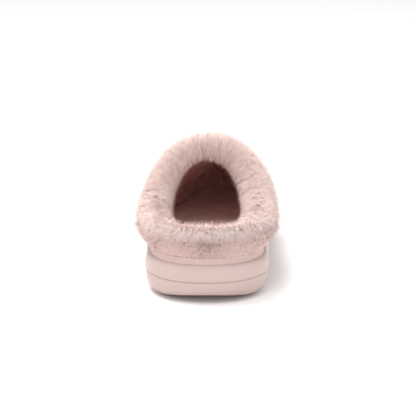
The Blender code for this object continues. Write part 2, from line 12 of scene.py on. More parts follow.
import bmesh
import bpy
import numpy as np
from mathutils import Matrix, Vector
from mathutils.kdtree import KDTree


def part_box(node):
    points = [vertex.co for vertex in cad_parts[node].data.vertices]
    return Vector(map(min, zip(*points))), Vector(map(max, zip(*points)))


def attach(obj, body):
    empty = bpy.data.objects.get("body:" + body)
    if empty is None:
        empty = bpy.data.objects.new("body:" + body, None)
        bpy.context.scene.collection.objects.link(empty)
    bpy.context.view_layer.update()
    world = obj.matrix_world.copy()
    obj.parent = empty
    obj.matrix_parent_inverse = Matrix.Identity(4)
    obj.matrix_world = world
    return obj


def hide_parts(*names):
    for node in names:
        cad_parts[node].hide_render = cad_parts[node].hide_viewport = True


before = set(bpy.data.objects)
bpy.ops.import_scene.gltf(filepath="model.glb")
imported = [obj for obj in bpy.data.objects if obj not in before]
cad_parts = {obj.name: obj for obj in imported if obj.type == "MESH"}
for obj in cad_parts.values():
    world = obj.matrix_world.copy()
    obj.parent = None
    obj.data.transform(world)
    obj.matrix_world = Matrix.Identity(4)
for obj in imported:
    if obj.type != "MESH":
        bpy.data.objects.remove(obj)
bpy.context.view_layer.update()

# ---------------------------------------------------------------- sizes shared with the CAD part

LENGTH, HEEL_WIDTH, BALL_WIDTH = 0.268, 0.090, 0.100
HEEL_ROUND, BALL_ALONG, TOE_ROUND = 0.048, 0.178, 0.098
TOE_SHIFT, SHIFT_FROM = 0.009, 0.095
HEEL_SQUARENESS, TOE_SQUARENESS = 2.15, 2.1
TIER_HEIGHT, RIM_HEIGHT, CUP_FLOOR, RIM_WALL = 0.0157, 0.0272, 0.0195, 0.005
FOREFOOT_THINNING, THINNING_FROM, THINNING_TO = 0.16, 0.085, 0.155
TOE_SPRING, SPRING_FROM, SPRING_CURVE = 0.007, 0.205, 1.7
TREAD_DEPTH, TREAD_WIDTH, TREAD_PITCH = 0.0016, 0.0028, 0.0135
TREAD_FROM, TREAD_TO = 0.024, 0.200
GAP = 0.0003
FUR_IN = 0.0091           # depth of the fur's base, outwards from the foot cavity's surface
FUR_DEPTH_VAMP, FUR_DEPTH_SIDE, FUR_DEPTH_HEEL = 0.0088, 0.0140, 0.0070
FUR_THIN_FROM, FUR_THIN_TO = 0.090, 0.150
FUR_EDGE, FUR_SWELL = 0.0015, 0.010
RAND_THICKNESS, RAND_HEIGHT = 0.0013, 0.0040
HEEL_PILE, HEEL_PILE_SWELL, SIDE_PILE_LOSS = 0.0070, 0.006, 0.75
CAVITY_INSET = RIM_WALL + FUR_IN
HEEL_TOPLINE, THROAT_ALONG, THROAT_HEIGHT = 0.0423, 0.1225, 0.0808
TOPLINE_RISE_FROM, TOPLINE_CURVE = 0.058, 2.5
QUARTER_ALONG, PUFF_ALONG, COUNTER_ALONG = 0.062, 0.205, 0.075
RIDGE_DROP, RIDGE_TO, RIB_SQUARENESS = 0.031, LENGTH - 0.018, 2.15
HEEL_FAN, TOE_FAN = 0.062, LENGTH - 0.040
ROLL_HEIGHT_THROAT, ROLL_INSIDE_HEEL, ROLL_OUTSIDE, ROLL_GAP = 0.0085, 0.0120, 0.0004, 0.0010
FOOTBED_TOP, PLUSH_THICKNESS = RIM_HEIGHT + 0.0037, 0.0035
ZONES = (6, 2, 7, 7, 7)   # the CAD's columns in each zone of one side: heel, counter, side, vamp, toe
SIDE_ZONE = 2             # the zone whose columns crowd towards the throat
QUARTER, COUNTER, THROAT = ZONES[0], sum(ZONES[:2]), sum(ZONES[:3])   # CAD columns, counted from the heel

# ---------------------------------------------------------------- sizes that the looks soften a little

HEEL_SPRING, HEEL_SPRING_TO = 0.0042, 0.030
TREAD_MARGIN = 0.015
ROLL_HEIGHT_HEEL, ROLL_INSIDE_SIDE, ROLL_INSIDE_THROAT = 0.0088, 0.0026, 0.0004
ROLL_INSIDE_OUTER = 0.0012   # the roll's inner face at the foot's outer side, pressed flat by use
RAND_TUCK = 0.0016        # the rand runs down behind the sole's rim by this
ROLL_TUCK = 0.2           # angle by which the roll's pelt runs on past its two feet

# ---------------------------------------------------------------- fineness of the grids

FINE = 8                  # fine columns for each of the CAD's
OUTLINE_STEPS = 1201
UPPER_ROWS, LINING_ROWS, ROLL_ROWS, RAND_ROWS = 40, 44, 32, 10
HALF = sum(ZONES) * FINE
COLUMNS = 2 * HALF
THROAT_COLUMN = (ZONES[3] + ZONES[4]) * FINE
QUARTER_COLUMN = HALF - QUARTER * FINE

# ---------------------------------------------------------------- the fur

STRANDS = {"vamp": 68000, "heel": 22000, "collar": 72000, "back_roll": 38000, "back_lining": 9000}
PIECE_STRANDS = 38500     # the most strands in one piece
STRAND_WIDTH, DRIFT = 0.00027, 0.00025
LOCK, LOCK_JITTER = 0.0018, 0.12      # a lock's width, and the share of it by which a strand strays
HOLD, ROLL_BACK_HOLD = 0.3, 0.15      # how firmly a lock draws its strands together
SPREAD, SWIRL_SIZE = 0.22, 0.030      # angle by which combed locks wander, and the size of a swirl
RAGGED, RAGGED_MOST = 0.14, 0.4       # spread of the strands' lengths, as a share
GUARD_SHARE, GUARD_LIFT = 0.12, 1.9   # the few longer hairs that stand out of the pile
HEEL_COMB = {"lock": 0.0013, "hold": 0.42, "spread": 0.9, "width": 0.00024}
VAMP_HAIR, HEEL_HAIR = 0.0095, 0.0062   # the longest strands
EDGE_HAIR, HAIR_RISE = 0.0030, 0.8    # strands at the fur's foot, and their gain with height above it
PELT_DEPTH, PELT_BACK = 0.55, 0.0004  # the pelt's depth as a share of the pile's, and its back above the base
SWEEP_AHEAD, SWEEP_DOWN = 0.35, 0.94  # the vamp's fur is combed toewards and down by these
CROWN_FROM = 0.4                      # share of the vamp's height above which its fur turns straight ahead
TUFT_ROW, TUFT_SIZE, TUFT_FALL = 0.62, 0.016, 0.25   # the heel's fur sprays from a point at its middle
SPRAY_SHARE = 0.62                    # the share of the heel's strands in the spray; the rest cross it
CROSS_UP, CROSS_IN = 0.5, 0.4         # how the crossing strands are combed
PARTING, PARTING_SPREAD = 1.45, 0.9   # angle over the roll, from its outer foot, where its fur parts
ROLL_SKIN = 0.0012                    # thickness of the roll's pelt
LEAN_OUTER, LEAN_INNER = 0.8, -0.5    # how the roll's fur leans along the opening, short of the throat
ROLL_ANGLES = (0, 1.0, 2.0, math.pi)  # over the roll from its outer foot, with the strands' length at each
LONG_ROLL_HAIR, SHORT_ROLL_HAIR = (0.0105, 0.0095, 0.0100, 0.0060), (0.0050, 0.0066, 0.0080, 0.0060)
ROLL_INSET_ANGLES, ROLL_INSETS = (0, 0.5, 2.4, math.pi), (0.0055, 0.0046, 0.0036, 0.0028)
PLUSH_HAIR, PLUSH_RISE, PLUSH_FIRST_ROW = 0.0052, 0.0006, 8   # the back lining's nap
LIE_CURVE, CLIMB_CURVE, HOLD_CURVE = 1.25, 1.8, 1.2   # how a strand runs out, climbs and joins its lock
TILT, ROUNDNESS = 0.35, 0.3           # a ribbon's turn about its length, and its shading as a round hair

# ---------------------------------------------------------------- lining, footbed and floor

LINING_CLOTH, LINING_BELOW_TOP = 0.0014, 0.0045
PUFFS = ((0.034, 11, 0.0005), (0.012, 12, 0.00018))   # size, seed and depth of the lining's soft waves
SEAM_DEPTH, SEAM_WIDTH = 0.0011, 0.0022
PUCKER_DEPTH, PUCKER_WIDTH, PUCKER_PITCH = 0.00035, 0.007, 0.0042
FOOTBED_WALL, FOOTBED_CROWN, FOOTBED_EDGE = 0.0018, 0.0017, 0.006
FLOOR_HALF = 30.0

rng = np.random.default_rng(7)


# ---------------------------------------------------------------- the last: outline, ribs and grids

def ease(value, start, end):
    share = np.clip((np.asarray(value, float) - start) / (end - start), 0, 1)
    return share * share * (3 - 2 * share)


def unit(vectors):
    return vectors / np.maximum(np.linalg.norm(vectors, axis=-1, keepdims=True), 1e-12)


def rounding(share, squareness):
    return (1 - (1 - np.clip(share, 0, 1)) ** squareness) ** (1 / squareness)


def half_width(along):
    full = HEEL_WIDTH + (BALL_WIDTH - HEEL_WIDTH) * ease(along, HEEL_ROUND, BALL_ALONG)
    return full / 2 * rounding(along / HEEL_ROUND, HEEL_SQUARENESS) \
        * rounding((LENGTH - along) / TOE_ROUND, TOE_SQUARENESS)


def middle_x(along):
    return TOE_SHIFT * ease(along, SHIFT_FROM, LENGTH)


def side_stations(sign):
    """Outline points and inward normals of one side's fine columns, from the heel to the toe tip."""
    turn = np.linspace(math.pi, 0, OUTLINE_STEPS)
    along = LENGTH * (1 + np.cos(turn)) / 2
    line = np.stack([middle_x(along) + sign * half_width(along), along], 1)
    ahead = unit(np.gradient(line, axis=0))
    ahead[0], ahead[-1] = (sign, 0), (-sign, 0)
    inward = np.stack([-ahead[:, 1], ahead[:, 0]], 1) * sign
    arc = np.concatenate([[0], np.cumsum(np.linalg.norm(np.diff(line, axis=0), axis=1))])
    zone_ends = (QUARTER_ALONG, COUNTER_ALONG, THROAT_ALONG, PUFF_ALONG)
    marks = [0, *[np.interp(place, along, arc) for place in zone_ends], arc[-1]]
    knots = []
    for zone, count in enumerate(ZONES):
        share = np.arange(count) / count
        if zone == SIDE_ZONE:
            share = 1 - (1 - share) ** 2
        knots.append(marks[zone] + (marks[zone + 1] - marks[zone]) * share)
    knots = np.append(np.concatenate(knots), arc[-1])
    wanted = np.interp(np.arange(HALF + 1) / FINE, np.arange(len(knots)), knots)
    station = np.stack([np.interp(wanted, arc, line[:, k]) for k in (0, 1)], 1)
    facing = unit(np.stack([np.interp(wanted, arc, inward[:, k]) for k in (0, 1)], 1))
    return station, facing


def ring_of(outer, inner):
    """The two sides' columns as one ring that starts at the toe tip and goes round the heel."""
    return np.concatenate([outer[::-1], inner[1:-1]])


OUTER, INNER = side_stations(-1), side_stations(1)
STATIONS, FACINGS = ring_of(OUTER[0], INNER[0]), ring_of(OUTER[1], INNER[1])
AWAY = np.abs(np.arange(COLUMNS) - HALF) / FINE      # the CAD's column number, counted from the heel
MIRROR = (-np.arange(COLUMNS)) % COLUMNS
CLOSED = AWAY * FINE >= HALF - THROAT_COLUMN


def sole_height(height, along):
    """Height of a level of the sole, thinned under the forefoot and sprung at the toe and the heel."""
    thin = 1 - FOREFOOT_THINNING * ease(along, THINNING_FROM, THINNING_TO)
    toe = np.clip((along - SPRING_FROM) / (LENGTH - SPRING_FROM), 0, 1) ** SPRING_CURVE
    heel = np.clip((HEEL_SPRING_TO - along) / HEEL_SPRING_TO, 0, 1) ** 2
    return height * thin + TOE_SPRING * toe + HEEL_SPRING * heel * (1 - np.clip(height / TIER_HEIGHT, 0, 1))


def ridge_height(along):
    return THROAT_HEIGHT - RIDGE_DROP * ease(along, THROAT_ALONG, RIDGE_TO)


def rib_ends():
    """Each rib's foot in the sole's cup, and the plan point on the middle line that it rises to."""
    forward = AWAY - (HALF - THROAT_COLUMN) / FINE
    beside = np.interp(STATIONS[:, 1], [0, THROAT_ALONG], [HEEL_FAN, THROAT_ALONG])
    ahead = np.interp(forward, [0, THROAT_COLUMN / FINE], [THROAT_ALONG, TOE_FAN])
    along = np.where(forward < 0, beside, ahead)
    level = sole_height(CUP_FLOOR + GAP, STATIONS[:, 1])
    foot = np.column_stack([STATIONS + FACINGS * CAVITY_INSET, level])
    return foot, np.column_stack([middle_x(along), along])


FOOT, HEAD = rib_ends()


def rib_point(angle):
    """The point of each rib at the angle, from 0 at its foot to a quarter turn at the middle line."""
    lean = 1 - np.maximum(np.cos(angle), 0) ** (2 / RIB_SQUARENESS)
    rise = np.sin(angle) ** (2 / RIB_SQUARENESS)
    plan = FOOT[:, :2] + (HEAD - FOOT[:, :2]) * lean[:, None]
    return np.column_stack([plan, FOOT[:, 2] + (ridge_height(plan[:, 1]) - FOOT[:, 2]) * rise])


def rib_angle(height):
    """The angle at which each rib reaches the height, found by halving."""
    low, high = np.zeros(COLUMNS), np.full(COLUMNS, math.pi / 2)
    for _ in range(34):
        middle = (low + high) / 2
        below = rib_point(middle)[:, 2] < height
        low, high = np.where(below, middle, low), np.where(below, high, middle)
    return (low + high) / 2


def topline_height():
    """Height of the opening's edge: low round the heel, rising to the throat."""
    share = (STATIONS[:, 1] - TOPLINE_RISE_FROM) / (THROAT_ALONG - TOPLINE_RISE_FROM)
    return HEEL_TOPLINE + (THROAT_HEIGHT - HEEL_TOPLINE) * np.clip(share, 0, 1) ** TOPLINE_CURVE


def rib_grid(start, end, rows):
    """Points [column, row] of the cavity's surface between two angles of each rib."""
    shares = np.linspace(0, 1, rows + 1)
    return np.stack([rib_point(start + (end - start) * share) for share in shares], 1)


def ring_normals(grid, joined=True):
    """Outward normals of a grid that runs all the way round, alike on both sides of the middle line."""
    ahead = np.roll(grid, -1, 0)
    face = np.cross(ahead[:, 1:] - grid[:, :-1], grid[:, 1:] - ahead[:, :-1])
    around = face + np.roll(face, 1, 0)
    total = np.zeros_like(grid)
    total[:, :-1] += around
    total[:, 1:] += around
    if joined:
        total[CLOSED, -1] += total[MIRROR[CLOSED], -1].copy()
    return unit(total)


ALONG = STATIONS[:, 1]
RAND_ANGLE = rib_angle(sole_height(RIM_HEIGHT, ALONG) + GAP + RAND_HEIGHT)
TOP_ANGLE = np.where(CLOSED, math.pi / 2, rib_angle(topline_height()))
UPPER = rib_grid(RAND_ANGLE, TOP_ANGLE, UPPER_ROWS)
UPPER_NORMALS = ring_normals(UPPER)

# The grids are made with the heel's back at along 0; the CAD's box says where it stands.
SHIFT = np.array([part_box("midsole")[0][0] - STATIONS[:, 0].min(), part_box("midsole")[0][1], 0.0])


# ---------------------------------------------------------------- depths of the fur

def fur_depth(away, along):
    """The fur's full depth: thick at the sides, thinner over the toes and round the heel."""
    heel = 1 - ease(away, 1, COUNTER)
    depth = FUR_DEPTH_SIDE + (FUR_DEPTH_VAMP - FUR_DEPTH_SIDE) * ease(along, FUR_THIN_FROM, FUR_THIN_TO)
    return depth + (FUR_DEPTH_HEEL - depth) * heel


def upper_pile():
    """The pile's depth over the upper's grid, and the height above the upper's foot."""
    rise = UPPER[:, :, 2] - UPPER[:, :1, 2]
    swell = np.sin(np.clip(rise / FUR_SWELL, 0, 1) * math.pi / 2)
    pile = FUR_EDGE + (fur_depth(AWAY, ALONG)[:, None] - FUR_EDGE) * swell
    return pile, rise


def roll_envelope():
    """The arch over the topline, all the way round the opening, from its outer foot to its inner one."""
    columns = np.arange(THROAT_COLUMN, COLUMNS - THROAT_COLUMN)
    points, normals = UPPER[columns, -1], UPPER_NORMALS[columns, -1]
    away = AWAY[columns]
    tangents = np.roll(points, -1, 0) - np.roll(points, 1, 0)
    up = unit(np.cross(normals, tangents))
    places = [0, COUNTER, THROAT]
    inside = -np.interp(away, places, [ROLL_INSIDE_HEEL, ROLL_INSIDE_SIDE, ROLL_INSIDE_THROAT])
    pressed = np.interp(away, places, [0, 1, 0.6]) * (ROLL_INSIDE_SIDE - ROLL_INSIDE_OUTER)
    inside = inside + np.where(columns < HALF, pressed, 0)
    outside = FUR_IN + fur_depth(away, ALONG[columns]) + ROLL_OUTSIDE
    heel = 1 - ease(away, 1, COUNTER)
    height = ROLL_HEIGHT_THROAT + (ROLL_HEIGHT_HEEL - ROLL_HEIGHT_THROAT) * heel
    angle = np.linspace(-ROLL_TUCK, math.pi + ROLL_TUCK, ROLL_ROWS + 1)
    across = ((inside + outside) / 2)[:, None] + ((outside - inside) / 2)[:, None] * np.cos(angle)
    rise = ROLL_GAP + height[:, None] * np.sin(angle)
    grid = points[:, None] + normals[:, None] * across[:, :, None] + up[:, None] * rise[:, :, None]
    return grid, columns, angle


# ---------------------------------------------------------------- mesh and object helpers

def mesh_object(name, verts, faces, finish):
    mesh = bpy.data.meshes.new(name)
    mesh.from_pydata(np.asarray(verts).tolist(), [], faces)
    mesh.materials.append(finish)
    mesh.shade_smooth()
    obj = bpy.data.objects.new(name, mesh)
    bpy.context.scene.collection.objects.link(obj)
    return obj


def settle(obj, slot, *nodes):
    """The piece rides the body and stands for the CAD nodes, which it hides. The slot is not used."""
    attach(obj, "root")
    if nodes:
        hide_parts(*nodes)


def face_outwards(obj, merge):
    """Turn the mesh's faces outwards, first merging the points of a shell that meet."""
    clean = bmesh.new()
    clean.from_mesh(obj.data)
    if merge:
        bmesh.ops.remove_doubles(clean, verts=clean.verts[:], dist=2e-6)
        bmesh.ops.dissolve_degenerate(clean, edges=clean.edges[:], dist=1e-6)
    bmesh.ops.recalc_face_normals(clean, faces=clean.faces[:])
    clean.to_mesh(obj.data)
    clean.free()


def grid_faces(columns, rows, wrap=False, flip=False, start=0):
    """Quads of a grid whose vertices count along its rows first."""
    column = np.arange(columns if wrap else columns - 1)
    a = (column[:, None] * rows + np.arange(rows - 1)).ravel()
    b = (((column + 1) % columns)[:, None] * rows + np.arange(rows - 1)).ravel()
    quads = np.stack([a, b, b + 1, a + 1], 1) + start
    return (quads[:, ::-1] if flip else quads).tolist()


def shell(name, outer, inner, finish, wrap=False):
    """A closed skin between two grids of the same layout."""
    columns, rows = outer.shape[:2]
    count = columns * rows
    verts = np.concatenate([outer.reshape(-1, 3), inner.reshape(-1, 3)]) + SHIFT
    faces = grid_faces(columns, rows, wrap) + grid_faces(columns, rows, wrap, True, count)
    loop = np.arange(columns if wrap else columns - 1)
    for row, flip in ((0, True), (rows - 1, False)):
        a, b = loop * rows + row, (loop + 1) % columns * rows + row
        quads = np.stack([a, b, b + count, a + count], 1)
        faces += (quads if flip else quads[:, ::-1]).tolist()
    if not wrap:
        step = np.arange(rows - 1)
        for column, flip in ((0, False), (columns - 1, True)):
            a = column * rows + step
            quads = np.stack([a, a + 1, a + 1 + count, a + count], 1)
            faces += (quads if flip else quads[:, ::-1]).tolist()
    obj = mesh_object(name, verts, faces, finish)
    face_outwards(obj, merge=True)
    return obj


def smooth_line(knots, steps):
    """A Catmull-Rom line through the knots."""
    knots = np.asarray(knots, float)
    padded = np.vstack([2 * knots[0] - knots[1], knots, 2 * knots[-1] - knots[-2]])
    share = (np.arange(steps) / steps)[:, None]
    out = []
    for a, b, c, d in zip(padded, padded[1:], padded[2:], padded[3:]):
        out.append(0.5 * (2 * b + (c - a) * share + (2 * a - 5 * b + 4 * c - d) * share ** 2
                          + (3 * b - a - 3 * c + d) * share ** 3))
    return np.vstack([*out, knots[-1:]])


def outline_ring(inset, height):
    """The sole's outline drawn in by the inset, at a level of the sole."""
    return np.column_stack([STATIONS + FACINGS * inset, sole_height(height, ALONG)])


def cavity_ring(height, clearance):
    """The foot cavity's section at a level of the sole, drawn in by the clearance."""
    level = sole_height(height, ALONG)
    ring = rib_point(rib_angle(level))
    ring[:, :2] += FACINGS * clearance
    ring[:, 2] = level
    return ring


def loft(name, rings, finish):
    """A closed solid through rings on the columns, with both ends laddered across."""
    count = len(rings)
    verts = np.stack(rings, 1).reshape(-1, 3) + SHIFT
    faces = grid_faces(COLUMNS, count, True)
    for row in (0, count - 1):
        for k in range(HALF):
            corners = [k, k + 1, (COLUMNS - k - 1) % COLUMNS, (COLUMNS - k) % COLUMNS]
            corners = [c * count + row for c in dict.fromkeys(corners)]
            faces.append(corners if row else corners[::-1])
    obj = mesh_object(name, verts, faces, finish)
    face_outwards(obj, merge=False)
    obj.data.set_sharp_from_angle(angle=math.radians(50))
    return obj


# ---------------------------------------------------------------- materials

def nodes_of(name):
    """A new material, its nodes and links, and its shader."""
    made = bpy.data.materials.new(name)
    made.use_nodes = True
    return made, made.node_tree.nodes, made.node_tree.links, made.node_tree.nodes["Principled BSDF"]


def ramp(nodes, stops):
    """A colour ramp through (place, colour) stops."""
    made = nodes.new("ShaderNodeValToRGB")
    elements = made.color_ramp.elements
    while len(elements) < len(stops):
        elements.new(0.5)
    for element, (place, colour) in zip(elements, stops):
        element.position = place
        element.color = (*colour, 1)
    return made


def texture(nodes, links, kind, scale, **settings):
    """A procedural texture in the object's own coordinates, in metres."""
    place = nodes.new("ShaderNodeTexCoord")
    made = nodes.new("ShaderNodeTex" + kind)
    made.inputs["Scale"].default_value = scale
    for key, value in settings.items():
        made.inputs[key].default_value = value
    links.new(place.outputs["Object"], made.inputs["Vector"])
    return made


def bump(nodes, links, shader, height, strength, distance):
    made = nodes.new("ShaderNodeBump")
    made.inputs["Strength"].default_value = strength
    made.inputs["Distance"].default_value = distance
    links.new(height, made.inputs["Height"])
    links.new(made.outputs["Normal"], shader.inputs["Normal"])


def strand_material(name, root, middle, tip, spread):
    """Painted shade darker at the root, where the pile above shades it, lighter at the tip; each lock and
    strand is also a little lighter or darker at random.
    """
    made, nodes, links, shader = nodes_of(name)
    uv = nodes.new("ShaderNodeUVMap")
    uv.uv_map = "OFBake"
    split = nodes.new("ShaderNodeSeparateXYZ")
    links.new(uv.outputs["UV"], split.inputs[0])
    colour = ramp(nodes, [(0.0, root), (0.45, middle), (1.0, tip)])
    links.new(split.outputs["X"], colour.inputs["Fac"])
    vary = nodes.new("ShaderNodeMapRange")
    vary.inputs["To Min"].default_value = 1 - spread
    vary.inputs["To Max"].default_value = 1 + spread * 0.6
    links.new(split.outputs["Y"], vary.inputs["Value"])
    shade = nodes.new("ShaderNodeVectorMath")
    shade.operation = "SCALE"
    links.new(colour.outputs["Color"], shade.inputs[0])
    links.new(vary.outputs["Result"], shade.inputs["Scale"])
    links.new(shade.outputs["Vector"], shader.inputs["Base Color"])
    shader.inputs["Roughness"].default_value = 0.72
    shader.inputs["Specular IOR Level"].default_value = 0.25
    return made


def cloth_material(name, dark, light, mottle, grain, depth):
    """Napped cloth: mottled at a scale of centimetres and grained at one of tenths of a millimetre."""
    made, nodes, links, shader = nodes_of(name)
    spots = texture(nodes, links, "Noise", mottle, Detail=5.0, Roughness=0.6)
    colour = ramp(nodes, [(0.3, dark), (0.72, light)])
    links.new(spots.outputs["Fac"], colour.inputs["Fac"])
    links.new(colour.outputs["Color"], shader.inputs["Base Color"])
    pile = texture(nodes, links, "Noise", grain, Detail=3.0, Roughness=0.65)
    bump(nodes, links, shader, pile.outputs["Fac"], 0.6, depth)
    shader.inputs["Roughness"].default_value = 0.9
    shader.inputs["Specular IOR Level"].default_value = 0.2
    shader.inputs["Sheen Weight"].default_value = 0.25
    shader.inputs["Sheen Roughness"].default_value = 0.5
    shader.inputs["Sheen Tint"].default_value = (*light, 1)
    return made


def foam_material(name, dark, light):
    """Moulded EVA: satin, with a fine matt grain and faint clouding."""
    made, nodes, links, shader = nodes_of(name)
    clouds = texture(nodes, links, "Noise", 22.0, Detail=3.0, Roughness=0.5)
    colour = ramp(nodes, [(0.3, dark), (0.7, light)])
    links.new(clouds.outputs["Fac"], colour.inputs["Fac"])
    links.new(colour.outputs["Color"], shader.inputs["Base Color"])
    grain = texture(nodes, links, "Noise", 2600.0, Detail=2.0, Roughness=0.5)
    bump(nodes, links, shader, grain.outputs["Fac"], 0.12, 0.0002)
    gloss = nodes.new("ShaderNodeMapRange")
    gloss.inputs["To Min"].default_value = 0.38
    gloss.inputs["To Max"].default_value = 0.52
    links.new(clouds.outputs["Fac"], gloss.inputs["Value"])
    links.new(gloss.outputs["Result"], shader.inputs["Roughness"])
    shader.inputs["Specular IOR Level"].default_value = 0.4
    return made


def weave_material(name, dark, light, scale):
    """Woven tape or stiff backing: fine crossing threads."""
    made, nodes, links, shader = nodes_of(name)
    warp = texture(nodes, links, "Wave", scale, Distortion=0.6)
    weft = texture(nodes, links, "Wave", scale, Distortion=0.6)
    weft.bands_direction = "Z"
    cross = nodes.new("ShaderNodeMath")
    cross.operation = "MULTIPLY"
    links.new(warp.outputs["Fac"], cross.inputs[0])
    links.new(weft.outputs["Fac"], cross.inputs[1])
    colour = ramp(nodes, [(0.0, dark), (0.8, light)])
    links.new(cross.outputs["Value"], colour.inputs["Fac"])
    links.new(colour.outputs["Color"], shader.inputs["Base Color"])
    bump(nodes, links, shader, cross.outputs["Value"], 0.25, 0.0002)
    shader.inputs["Roughness"].default_value = 0.85
    return made


# Each strand finish runs from a darker root to a lighter tip: the darker roots are painted shade within the
# pile.
FUR = strand_material("fur_strands", (0.70, 0.425, 0.37), (0.83, 0.64, 0.59), (0.88, 0.765, 0.725),
                      spread=0.05)
SHORT_FUR = strand_material("short_fur_strands", (0.70, 0.44, 0.39), (0.83, 0.60, 0.55), (0.94, 0.76, 0.715),
                            spread=0.15)
ROLL_FUR = strand_material("roll_strands", (0.76, 0.515, 0.46), (0.86, 0.69, 0.64), (0.905, 0.79, 0.75),
                           spread=0.03)
PLUSH_FUR = strand_material("plush_strands", (0.80, 0.63, 0.585), (0.86, 0.745, 0.71), (0.89, 0.81, 0.78),
                            spread=0.03)
# The pelt's cloth is darker than the strands: painted shade, standing in for the shadow deep in the fur.
PELT = cloth_material("fur_undercoat", (0.64, 0.38, 0.335), (0.76, 0.50, 0.455), 90.0, 1800.0, 0.0006)
EVA = foam_material("eva_foam", (0.525, 0.395, 0.365), (0.56, 0.43, 0.40))
RAND = weave_material("rand_tape", (0.57, 0.415, 0.385), (0.65, 0.495, 0.465), 620.0)
LINING = cloth_material("lining_cloth", (0.74, 0.42, 0.365), (0.86, 0.55, 0.50), 60.0, 1500.0, 0.0005)
PLUSH = cloth_material("footbed_cloth", (0.68, 0.48, 0.44), (0.82, 0.64, 0.60), 70.0, 1100.0, 0.0009)


# ---------------------------------------------------------------- fur

def waves(points, scale, seed, count=7):
    """Smooth noise of the points, about -1 to 1: a sum of plane waves about as long as the scale."""
    source = np.random.default_rng(seed)
    total = np.zeros(len(points))
    for _ in range(count):
        direction = unit(source.normal(size=3)) * source.uniform(0.6, 1.6) * 2 * math.pi / scale
        total += np.sin(points @ direction + source.uniform(0, 2 * math.pi))
    return total / math.sqrt(count) * 0.9


def scatter(grid, count):
    """Even random places on a grid's surface, as fractional (column, row)."""
    first = grid[1:, 1:] - grid[:-1, :-1]
    second = grid[1:, :-1] - grid[:-1, 1:]
    area = np.linalg.norm(np.cross(first, second), axis=2)
    total = np.cumsum(area.ravel())
    pick = np.searchsorted(total, (np.arange(count) + rng.random(count)) / count * total[-1])
    column, row = np.divmod(np.minimum(pick, area.size - 1), area.shape[1])
    return column + rng.random(count), row + rng.random(count)


def at(field, column, row):
    """The field's value at fractional places; its columns wrap round."""
    size = field.shape[0]
    c, r = np.floor(column).astype(int), np.minimum(np.floor(row).astype(int), field.shape[1] - 2)
    u, v = column - c, row - r
    if field.ndim == 3:
        u, v = u[:, None], v[:, None]
    c, d = c % size, (c + 1) % size
    low = field[c, r] * (1 - u) + field[d, r] * u
    high = field[c, r + 1] * (1 - u) + field[d, r + 1] * u
    return low * (1 - v) + high * v


def turned(vectors, axes, angle):
    """Each vector turned about its own axis, which is at right angles to it."""
    return vectors * np.cos(angle)[:, None] + np.cross(axes, vectors) * np.sin(angle)[:, None]


LEVELS = np.array([0.0, 0.35, 0.70, 1.0])     # places along a strand, from its root to its tip
CORNERS = 2 * len(LEVELS) - 1                 # a ribbon has two at each level but the tip


def trace(surface, normals, place, comb, reach, rise):
    """Lines and their normals [strand, level, 3] that climb off a ring-shaped surface and lie along it.

    Each step is solved in the grid's own columns and rows; past the last row a strand goes straight on.
    """
    last_row = surface.shape[1] - 1
    around = (np.roll(surface, -1, 0) - np.roll(surface, 1, 0)) / 2
    up = np.gradient(surface, axis=1)
    column, row = place
    beyond = np.zeros((len(column), 3))
    points, facing = [], []
    for level, before in zip(LEVELS, [0.0, *LEVELS[:-1]]):
        step = reach * (level ** LIE_CURVE - before ** LIE_CURVE)
        c, r = at(around, column, row), at(up, column, row)
        cc, cr, rr = (c * c).sum(1) + 1e-9, (c * r).sum(1), (r * r).sum(1) + 1e-9
        dc, dr = (comb * c).sum(1) * step, (comb * r).sum(1) * step
        scale = cc * rr - cr ** 2 + 1e-14
        column = column + np.clip((dc * rr - dr * cr) / scale, -FINE, FINE)
        wanted = row + np.clip((dr * cc - dc * cr) / scale, -FINE, FINE)
        row = np.clip(wanted, 0, last_row)
        beyond = beyond + r * (wanted - row)[:, None]
        normal = unit(at(normals, column, row))
        comb = unit(comb - normal * (comb * normal).sum(1)[:, None])
        height = rise * (1 - (1 - level) ** CLIMB_CURVE)
        points.append(at(surface, column, row) + beyond + normal * height[:, None])
        facing.append(normal)
    return np.stack(points, 1), np.stack(facing, 1)


def locks_of(root, spacing):
    """Index of the lock that each strand belongs to, and one strand of each lock to lead it."""
    leaders = []
    taken = {}
    cells = np.floor(root / spacing).astype(int)
    for index, cell in enumerate(map(tuple, cells)):
        if cell not in taken:
            taken[cell] = True
            leaders.append(index)
    tree = KDTree(len(leaders))
    for place, index in enumerate(leaders):
        tree.insert(root[index], place)
    tree.balance()
    lock = np.array([tree.find(point)[1] for point in root.tolist()])
    return lock, np.array(leaders)


